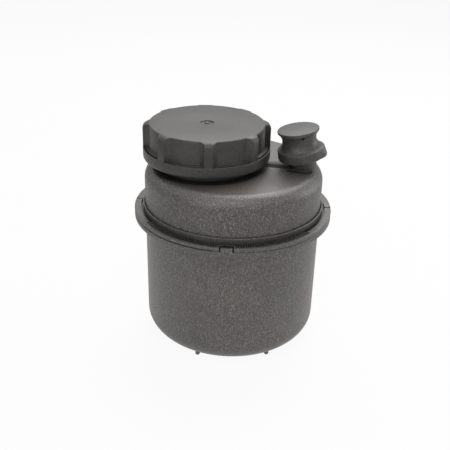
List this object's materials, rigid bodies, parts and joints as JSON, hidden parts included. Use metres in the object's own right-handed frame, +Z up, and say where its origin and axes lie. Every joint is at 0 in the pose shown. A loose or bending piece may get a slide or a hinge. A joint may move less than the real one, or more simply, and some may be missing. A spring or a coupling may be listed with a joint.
{
  "type": "power steering reservoir",
  "caption": "Round two-shell oil reservoir with a welded flange, offset lugged screw cap over a filter, leaning push-in dipstick knob and two rear hose nipples.",
  "frame": {"origin": "middle of the pot's flat underside, on the axis of the shells", "axes": "+Z up along the pot, +Y the way the hose nipples point, -X towards the filler cap"},
  "size_m": [0.13, 0.151, 0.15],
  "materials": {
    "shell_plastic": "glass-filled, grainy",
    "cap_plastic": "smooth satin",
    "knob_plastic": "smooth satin",
    "inner_plastic": "plain",
    "rubber": "matt",
    "spring_steel": "drawn wire",
    "sheet_steel": "plated",
    "paper": "resin-treated paper"
  },
  "bodies": {
    "housing": {"lower_pot": "shell_plastic", "upper_shell": "shell_plastic", "hold_down_spring": "spring_steel", "bypass_cage": "sheet_steel", "bypass_spring": "spring_steel", "filter_top_plate": "sheet_steel", "filter_paper": "paper", "filter_core": "sheet_steel", "filter_bottom_plate": "sheet_steel", "filter_seal": "rubber", "filter_stand": "inner_plastic", "return_elbow": "inner_plastic", "suction_nipple": "shell_plastic", "return_nipple": "shell_plastic", "suction_strainer": "sheet_steel", "splash_baffle": "inner_plastic"},
    "spring_seat": {"spring_cup": "inner_plastic"},
    "gasket": {"cap_gasket": "rubber"},
    "cap": {"filler_cap": "cap_plastic"},
    "valve": {"bypass_disc": "rubber"},
    "dipstick": {"dipstick_knob": "knob_plastic", "dipstick_seal": "rubber", "dipstick_blade": "sheet_steel"}
  },
  "joints": [
    {"name": "cap_screw_lift", "type": "slide", "parent": "housing", "child": "spring_seat", "axis": [0, 0, 1], "range_m": [0, 0.005], "deforming": ["hold_down_spring"]},
    {"name": "cap_pull", "type": "slide", "parent": "spring_seat", "child": "gasket", "axis": [0, 0, 1], "range_m": [0, 0.03]},
    {"name": "cap_turn", "type": "hinge", "parent": "gasket", "child": "cap", "pos_m": [-0.0178, 0, 0.14], "axis": [0, 0, 1], "range_deg": [0, 450]},
    {"name": "bypass_lift", "type": "slide", "parent": "housing", "child": "valve", "axis": [0, 0, 1], "range_m": [0, 0.003], "stiffness_N_per_m": 800, "springref_m": -0.004, "deforming": ["bypass_spring"]},
    {"name": "dipstick_pull", "type": "slide", "parent": "housing", "child": "dipstick", "axis": [-0.1635, -0.0531, 0.9851], "range_m": [0, 0.065]}
  ],
  "couplings": [
    {"joint": "cap_screw_lift", "follows": "cap_turn", "m_per_rad": 0.000636}
  ]
}
